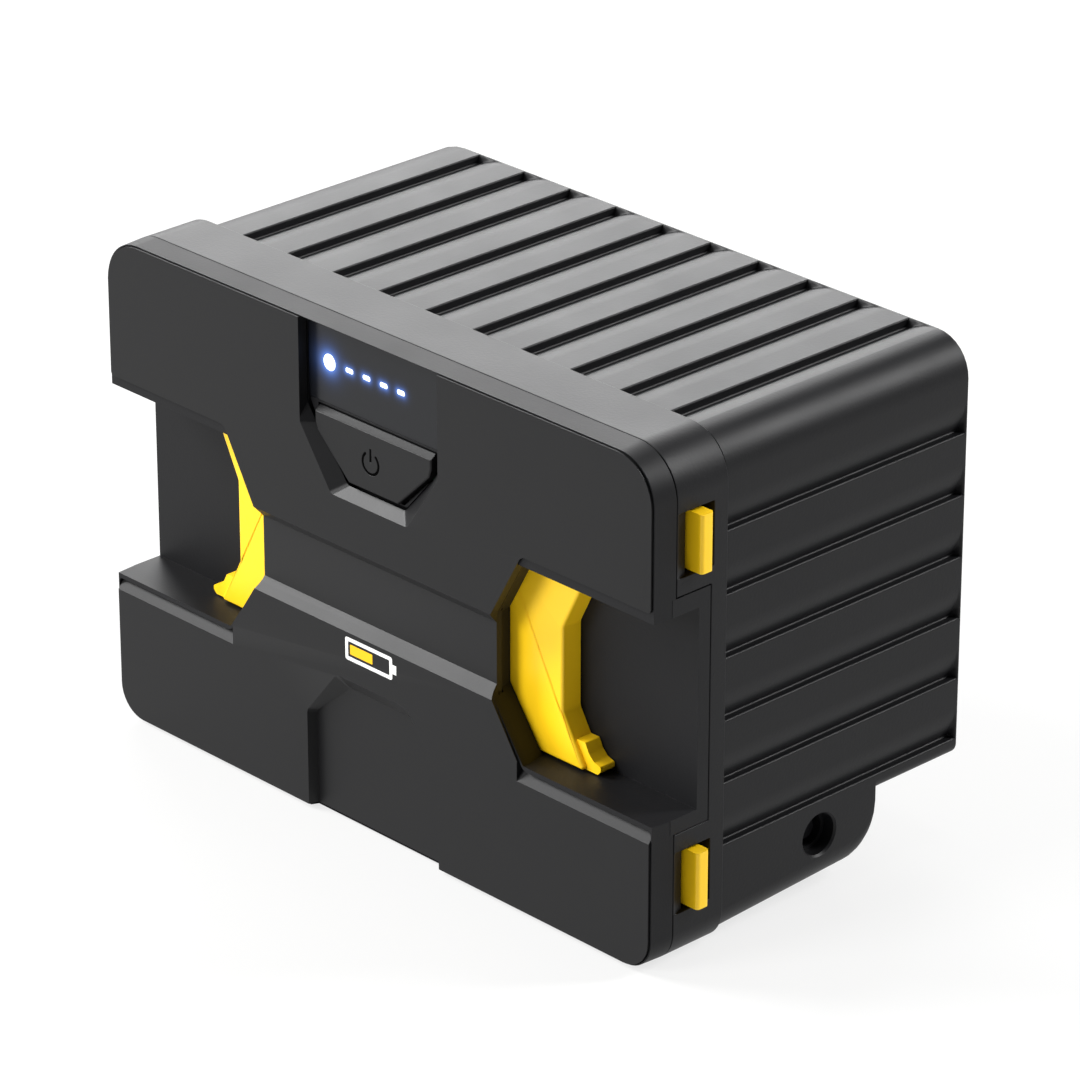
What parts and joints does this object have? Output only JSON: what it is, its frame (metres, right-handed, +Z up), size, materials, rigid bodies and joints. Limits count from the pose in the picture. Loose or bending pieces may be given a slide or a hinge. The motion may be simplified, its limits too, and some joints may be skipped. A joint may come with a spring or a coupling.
{
  "type": "removable battery pack",
  "caption": "Slide-in battery pack: ribbed black housing, recessed yellow squeeze grips that draw in side latches, status lights and a power button.",
  "frame": {"origin": "centre of the footprint on the surface that the pack stands on", "axes": "+X across the width to the right seen from the front, -Y out of the front, +Z up"},
  "size_m": [0.196, 0.104, 0.13],
  "materials": {
    "housing": "fine-textured black ABS and polycarbonate",
    "shell": "fine-textured black ABS and polycarbonate",
    "plate": "satin black moulded plate",
    "yellow": "smooth yellow acetal",
    "lens": "smoked acrylic window",
    "light": "clear light guide, lit white",
    "rubber": "matte black rubber",
    "board": "green printed board",
    "screw": "zinc-plated steel",
    "spring": "spring steel wire",
    "cell_can": "drawn aluminium can",
    "heat_sink": "extruded aluminium",
    "foam": "grey foam pad",
    "nickel": "nickel-plated strip",
    "contact": "sprung copper-alloy contact",
    "white_plastic": "off-white polypropylene",
    "red_plastic": "red moulded plastic"
  },
  "bodies": {
    "pack": {"rear_housing": "housing", "front_bezel": "housing", "front_shell": "shell", "front_cover": "plate", "housing_seal": "rubber", "shell_screw_1": "screw", "shell_screw_2": "screw", "shell_screw_3": "screw", "shell_screw_4": "screw", "housing_screw_1": "screw", "housing_screw_2": "screw", "housing_screw_3": "screw", "housing_screw_4": "screw", "foot_screw_1": "screw", "foot_screw_2": "screw", "status_window": "lens", "light_guide": "light", "button_ring": "shell", "control_board": "board", "tact_switch": "rubber", "right_spring_1": "spring", "right_spring_2": "spring", "left_spring_1": "spring", "left_spring_2": "spring", "cell_1": "cell_can", "cell_2": "cell_can", "cell_3": "cell_can", "cell_4": "cell_can", "cell_spacer_1": "foam", "busbar_1": "nickel", "cell_spacer_2": "foam", "busbar_2": "nickel", "cell_spacer_3": "foam", "busbar_3": "nickel", "negative_tab": "nickel", "positive_tab": "nickel", "busbar_holder": "white_plastic", "cell_cradle": "shell", "bms_board": "board", "bms_heat_sink": "heat_sink", "fuse": "red_plastic", "rear_connector": "rubber", "negative_lead": "rubber", "positive_lead": "red_plastic", "signal_harness": "rubber", "connector_contact_1": "contact", "connector_contact_2": "contact", "connector_contact_3": "contact", "connector_contact_4": "contact"},
    "right_release": {"right_grip": "yellow", "right_latch_bar": "yellow", "right_grip_screw_1": "screw", "right_grip_screw_2": "screw"},
    "left_release": {"left_grip": "yellow", "left_latch_bar": "yellow", "left_grip_screw_1": "screw", "left_grip_screw_2": "screw"},
    "power_button": {"power_button": "plate"}
  },
  "joints": [
    {"name": "right_grip_squeeze", "type": "slide", "parent": "pack", "child": "right_release", "axis": [-1, 0, 0], "range_m": [0, 0.0055], "stiffness_N_per_m": 900, "springref_m": -0.004, "deforming": ["right_spring_1", "right_spring_2"]},
    {"name": "left_grip_squeeze", "type": "slide", "parent": "pack", "child": "left_release", "axis": [1, 0, 0], "range_m": [0, 0.0055], "stiffness_N_per_m": 900, "springref_m": -0.004, "deforming": ["left_spring_1", "left_spring_2"]},
    {"name": "power_button_press", "type": "slide", "parent": "pack", "child": "power_button", "axis": [0, 1, 0], "range_m": [0, 0.0005], "stiffness_N_per_m": 1500, "springref_m": -0.0005}
  ]
}
